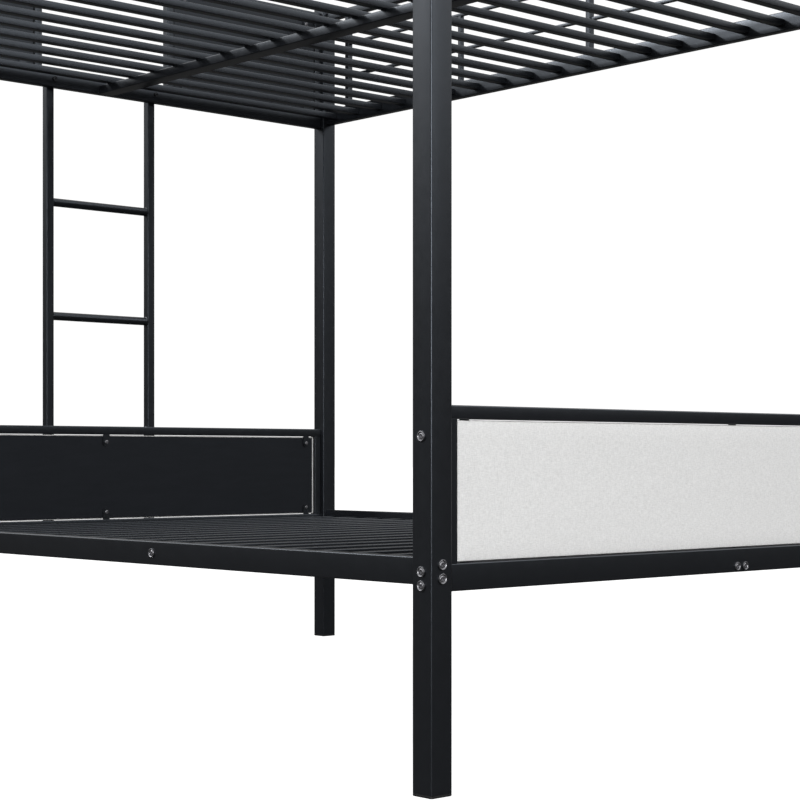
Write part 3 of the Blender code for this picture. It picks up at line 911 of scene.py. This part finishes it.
def fasteners(name, rings, places, direction, replaced=(), material=ZINC):
    """One piece of equal fasteners that all point the same way."""
    mesh = bmesh.new()
    for at in places:
        place_rings(mesh, rings, Vector(at), direction)
    piece(name, mesh, material, replaced)


def build_bolts():
    """The heads of the bolts that the CAD holds."""
    for name in sorted(n for n in NODES if "_bolts_" in n):
        low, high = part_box(name)
        x_side, y_side = sides(name)
        middle = (low + high) / 2
        if name.startswith("side_"):
            face = (high.x if x_side > 0 else low.x) - x_side * CAD_HEAD_HIGH
            direction = (x_side, 0, 0)
            at = Vector((face, middle.y, middle.z))
        else:
            face = (high.y if y_side > 0 else low.y) - y_side * CAD_HEAD_HIGH
            direction = (0, y_side, 0)
            at = Vector((middle.x, face, middle.z))
        step = Vector((0, 0, BOLT_SPACING / 2))
        fasteners(f"button_{name}", BOLT, (at - step, at + step), direction, [name])
    for name in sorted(n for n in NODES if n.startswith("ladder_bolt_")):
        low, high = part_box(name)
        middle = (low + high) / 2
        at = (high.x - CAD_HEAD_HIGH, middle.y, middle.z)
        fasteners(f"button_{name}", SMALL_BOLT, [at], (1, 0, 0), [name], BLACKED)


def build_loose_bolts():
    """Fasteners that the CAD leaves out: frame stiles, beams, lower slats, guards and panel tabs."""
    for name in sorted(n for n in NODES if n.startswith("end_frame_")):
        low, high, _, _, tabs = frame_parts(name)
        x_side, _ = sides(name)
        x = (low.x + high.x) / 2
        above_rail = low.z + RAIL_HEIGHT + POST_BOLT_ABOVE_RAIL
        z = above_rail if "lower" in name else high.z - POST_BOLT_BELOW_TOP
        corner = name.split("_")[-1]
        for side_name, side in (("front", -1), ("back", 1)):
            face = side * max(abs(v.y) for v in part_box(f"post_{corner}_{side_name}"))
            fasteners(f"post_bolt_{name[10:]}_{side_name}", BOLT, [(x, face, z)], (0, side, 0))
        outer = high.x if x_side > 0 else low.x
        middle = low.z + BEAM_HEIGHT / 2
        places = [(outer, side * BEAM_BOLT_SPACING, middle) for side in (-1, 1)]
        fasteners(f"beam_bolts_{name[10:]}", BEAM_BOLT, places, (x_side, 0, 0))
        inner = low.x if x_side > 0 else high.x
        tab_end = TAB_LONG - TAB_WIDE / 2
        heights = (low.z + RAIL_HEIGHT + tab_end, high.z - TUBE - tab_end)
        places = [(inner, y, z) for y in tabs for z in heights]
        fasteners(f"panel_screws_{name[10:]}", SCREW, places, (-x_side, 0, 0))
    for side_name, side in (("front", -1), ("back", 1)):
        low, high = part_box(f"side_rail_lower_{side_name}")
        outer = low.y if side < 0 else high.y
        z = (low.z + high.z) / 2
        places = [(slat_place(step) + BOLT_ASIDE, outer, z) for step in (-BOLTED_SLAT, BOLTED_SLAT)]
        fasteners(f"slat_bolts_{side_name}", BOLT, places, (0, side, 0))
        guard_low, guard_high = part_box(f"guard_rail_{side_name}")
        y = (guard_low.y + guard_high.y) / 2
        z = guard_high.z - GUARD_BOLT_BELOW_TOP
        for end, x_side in (("head", 1), ("ladder", -1)):
            post_low, post_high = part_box(f"post_{end}_{side_name}")
            face = post_high.x if x_side > 0 else post_low.x
            fasteners(f"guard_bolt_{end}_{side_name}", BOLT, [(face, y, z)], (x_side, 0, 0))


# Stage, light and camera.


def build_camera():
    """A level camera, shifted as the photograph's is."""
    camera = bpy.data.objects.new("camera", bpy.data.cameras.new("camera"))
    bpy.context.scene.collection.objects.link(camera)
    camera.location = CAMERA_AT
    camera.rotation_euler = (math.radians(90), 0, CAMERA_TURN)
    camera.data.sensor_width = SENSOR
    camera.data.lens = CAMERA_LENS
    camera.data.shift_x, camera.data.shift_y = CAMERA_SHIFT
    camera.data.clip_end = CAMERA_FAR
    bpy.context.scene.camera = camera


def surround(tree):
    """The strength of the light from all round: dark at the horizon, brighter above and on two sides."""
    generated = tree.nodes.new("ShaderNodeTexCoord").outputs["Generated"]
    x, y, z = add_node(tree, "ShaderNodeSeparateXYZ", Vector=generated).outputs
    smooth = {"interpolation_type": "SMOOTHSTEP"}
    limits = {"From_Min": DOME_LOW, "From_Max": DOME_HIGH}
    height = add_node(tree, "ShaderNodeMapRange", smooth, Value=z, **limits).outputs[0]
    products = [maths(tree, "MULTIPLY", *pair) for pair in zip((x, y), DOME_AXIS)]
    aside = maths(tree, "ADD", *products)
    squared = maths(tree, "MULTIPLY", aside, aside)
    spread = maths(tree, "MULTIPLY_ADD", squared, 1.0 - DOME_ROUND, DOME_ROUND)
    lean = maths(tree, "MULTIPLY_ADD", aside, DOME_LEAN, spread)
    return maths(tree, "MULTIPLY_ADD", maths(tree, "MULTIPLY", height, lean), DOME_LIGHT, DOME_BASE)


def shown_first(tree, others, seen, output):
    """Sends one shader to what the camera sees directly, and the others to all other light."""
    mix = tree.nodes.new("ShaderNodeMixShader")
    tree.links.new(tree.nodes.new("ShaderNodeLightPath").outputs["Is Camera Ray"], mix.inputs[0])
    tree.links.new(others, mix.inputs[1])
    tree.links.new(seen, mix.inputs[2])
    tree.links.new(mix.outputs[0], output)


def build_world():
    """White where the camera sees it, and the surround for all other light."""
    world = bpy.data.worlds.new("studio")
    bpy.context.scene.world = world
    world.use_nodes = True
    tree = world.node_tree
    lit = tree.nodes["Background"]
    lit.inputs["Color"].default_value = (1, 1, 1, 1)
    tree.links.new(surround(tree), lit.inputs["Strength"])
    seen = add_node(tree, "ShaderNodeBackground", Color=(1, 1, 1, 1), Strength=SEEN_WHITE)
    shown_first(tree, lit.outputs[0], seen.outputs[0], tree.nodes["World Output"].inputs["Surface"])


def build_floor():
    """A plain pale floor. It shows near white with faint shadows, and throws little light upward."""
    mesh = bmesh.new()
    bmesh.ops.create_grid(mesh, x_segments=1, y_segments=1, size=FLOOR_REACH)
    data = bpy.data.meshes.new("floor")
    mesh.to_mesh(data)
    mesh.free()
    floor = bpy.data.objects.new("floor", data)
    bpy.context.scene.collection.objects.link(floor)
    material = bpy.data.materials.new("floor_pale")
    material.use_nodes = True
    tree = material.node_tree
    tree.nodes.remove(tree.nodes["Principled BSDF"])
    dull = add_node(tree, "ShaderNodeBsdfDiffuse", Color=(*[FLOOR_DULL] * 3, 1))
    pale = add_node(tree, "ShaderNodeBsdfDiffuse", Color=(*[FLOOR_PALE] * 3, 1))
    glow = add_node(tree, "ShaderNodeEmission", Color=(1, 1, 1, 1), Strength=FLOOR_GLOW)
    both = tree.nodes.new("ShaderNodeAddShader")
    tree.links.new(pale.outputs[0], both.inputs[0])
    tree.links.new(glow.outputs[0], both.inputs[1])
    shown_first(tree, dull.outputs[0], both.outputs[0], tree.nodes["Material Output"].inputs["Surface"])
    data.materials.append(material)


def build_lights():
    """Area lights, each turned to its target."""
    for name, (at, target, size, power) in LIGHTS.items():
        light = bpy.data.lights.new(name, "AREA")
        light.shape = "RECTANGLE"
        light.size, light.size_y = size
        light.energy = power
        made = bpy.data.objects.new(name, light)
        bpy.context.scene.collection.objects.link(made)
        made.location = at
        made.rotation_euler = (Vector(at) - Vector(target)).to_track_quat("Z", "Y").to_euler()
    bpy.context.scene.view_settings.view_transform = "Standard"


build_camera()
build_world()
build_floor()
build_lights()
build_posts()
build_caps()
build_side_rails()
build_decks()
build_end_frames()
build_guards()
build_ladder()
build_panels()
build_bolts()
build_loose_bolts()

bpy.context.view_layer.update()
